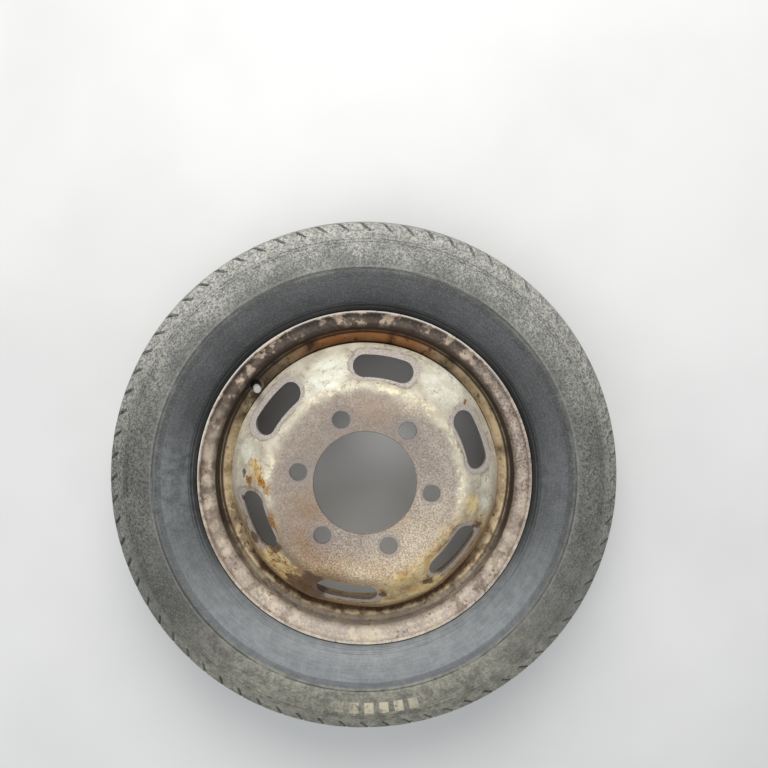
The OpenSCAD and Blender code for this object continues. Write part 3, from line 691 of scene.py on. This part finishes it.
# Pieces
def give(obj, mat):
    obj.data.materials.clear()
    obj.data.materials.append(mat)


def polished(node, sharp=32):
    """A copy of a CAD node that stands for it, with its bends shaded smooth up to that angle."""
    src = nodes[node]
    mesh = src.data.copy()
    mesh.name = node + "_skin"
    obj = bpy.data.objects.new(node + "_skin", mesh)
    bpy.context.scene.collection.objects.link(obj)
    bm = bmesh.new()
    bm.from_mesh(mesh)
    bmesh.ops.remove_doubles(bm, verts=bm.verts, dist=1e-6)
    for f in bm.faces:
        f.smooth = True
    for e in bm.edges:
        e.smooth = len(e.link_faces) == 2 and e.calc_face_angle(0) < math.radians(sharp)
    bm.to_mesh(mesh)
    bm.free()
    if "custom_normal" in mesh.attributes:
        mesh.attributes.remove(mesh.attributes["custom_normal"])
    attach(obj, src["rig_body"])
    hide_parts(node)
    return obj


looks = {
    "tyre": tyre_rubber(),
    "rim": rim_paint(),
    "disc": disc_paint(),
    "disc_welds": plain("weld_rust", (52, 36, 26), (96, 66, 44), 0.7),
    "valve_body": plain("valve_rubber", (22, 22, 23), (44, 43, 42), 0.55),
    "valve_stem": plain("valve_brass", (138, 112, 62), (178, 150, 92), 0.35, 1.0),
    "core_barrel": plain("core_brass", (150, 122, 66), (190, 160, 98), 0.3, 1.0),
    "core_gasket": plain("gasket_red", (132, 28, 22), (168, 44, 34), 0.5),
    "core_pin": plain("pin_brass", (158, 130, 74), (196, 168, 106), 0.3, 1.0),
    "core_spring": plain("spring_steel", (128, 128, 130), (170, 170, 172), 0.3, 1.0),
    "core_seal": plain("core_seal_rubber", (24, 24, 24), (46, 45, 44), 0.5),
    "valve_cap": plain("cap_grey", (150, 150, 146), (190, 189, 184), 0.5),
    "cap_seal": plain("cap_seal_rubber", (26, 26, 26), (48, 47, 46), 0.5),
}
for name, mat in looks.items():
    give(nodes[name], mat)
for name in ("tyre", "rim", "disc"):
    give(polished(name), looks[name])


# The stage
def floor():
    mesh = bpy.data.meshes.new("floor")
    corners = [(x * FLOOR_HALF, y * FLOOR_HALF, FLOOR_Z) for x, y in ((-1, -1), (1, -1), (1, 1), (-1, 1))]
    mesh.from_pydata(corners, [], [(0, 1, 2, 3)])
    obj = bpy.data.objects.new("floor", mesh)
    bpy.context.scene.collection.objects.link(obj)
    k = Mat("floor_paint")
    col = k.mix(k.noise(3, 3, lo=0.3, hi=0.7), (214, 214, 212), (222, 222, 220))
    give(obj, k.finish(col, 0.55))


def area(name, place, size, power, color):
    """A round soft light that faces the wheel."""
    data = bpy.data.lights.new(name, "AREA")
    data.shape = "DISK"
    data.size = size
    data.energy = power
    data.color = color
    obj = bpy.data.objects.new(name, data)
    obj.location = place
    obj.rotation_euler = (-Vector(place)).to_track_quat("-Z", "Y").to_euler()
    bpy.context.scene.collection.objects.link(obj)


floor()
area("key", UP * 1.75 + OUTWARD * 1.75, size=1.8, power=52, color=(1.0, 0.985, 0.96))
area("fill", UP * -0.6 + RIGHT * -0.5 + OUTWARD * 2.6, size=2.2, power=24, color=(0.96, 0.98, 1.0))
world = bpy.data.worlds.new("studio")
world.use_nodes = True
background = world.node_tree.nodes["Background"]
background.inputs["Color"].default_value = (0.93, 0.96, 1.0, 1)
background.inputs["Strength"].default_value = 0.45
bpy.context.scene.world = world
bpy.context.scene.view_settings.view_transform = "Standard"

cam_data = bpy.data.cameras.new("camera")
cam_data.sensor_width = SENSOR
cam_data.lens = LENS
cam_data.clip_start = 0.01
cam = bpy.data.objects.new("camera", cam_data)
place = RIGHT * EYE[0] + UP * EYE[1] + OUTWARD * EYE[2]
straight = Matrix((
    (RIGHT.x, UP.x, 0, place.x), (RIGHT.y, UP.y, 0, place.y), (0, 0, 1, place.z), (0, 0, 0, 1)))
pivot = Matrix.Translation((0, 0, FLANGE_Z))
lean = Matrix.Rotation(LEAN, 4, UP) @ Matrix.Rotation(LEAN, 4, RIGHT)
cam.matrix_world = pivot @ lean.inverted() @ pivot.inverted() @ straight
bpy.context.scene.collection.objects.link(cam)
bpy.context.scene.camera = cam
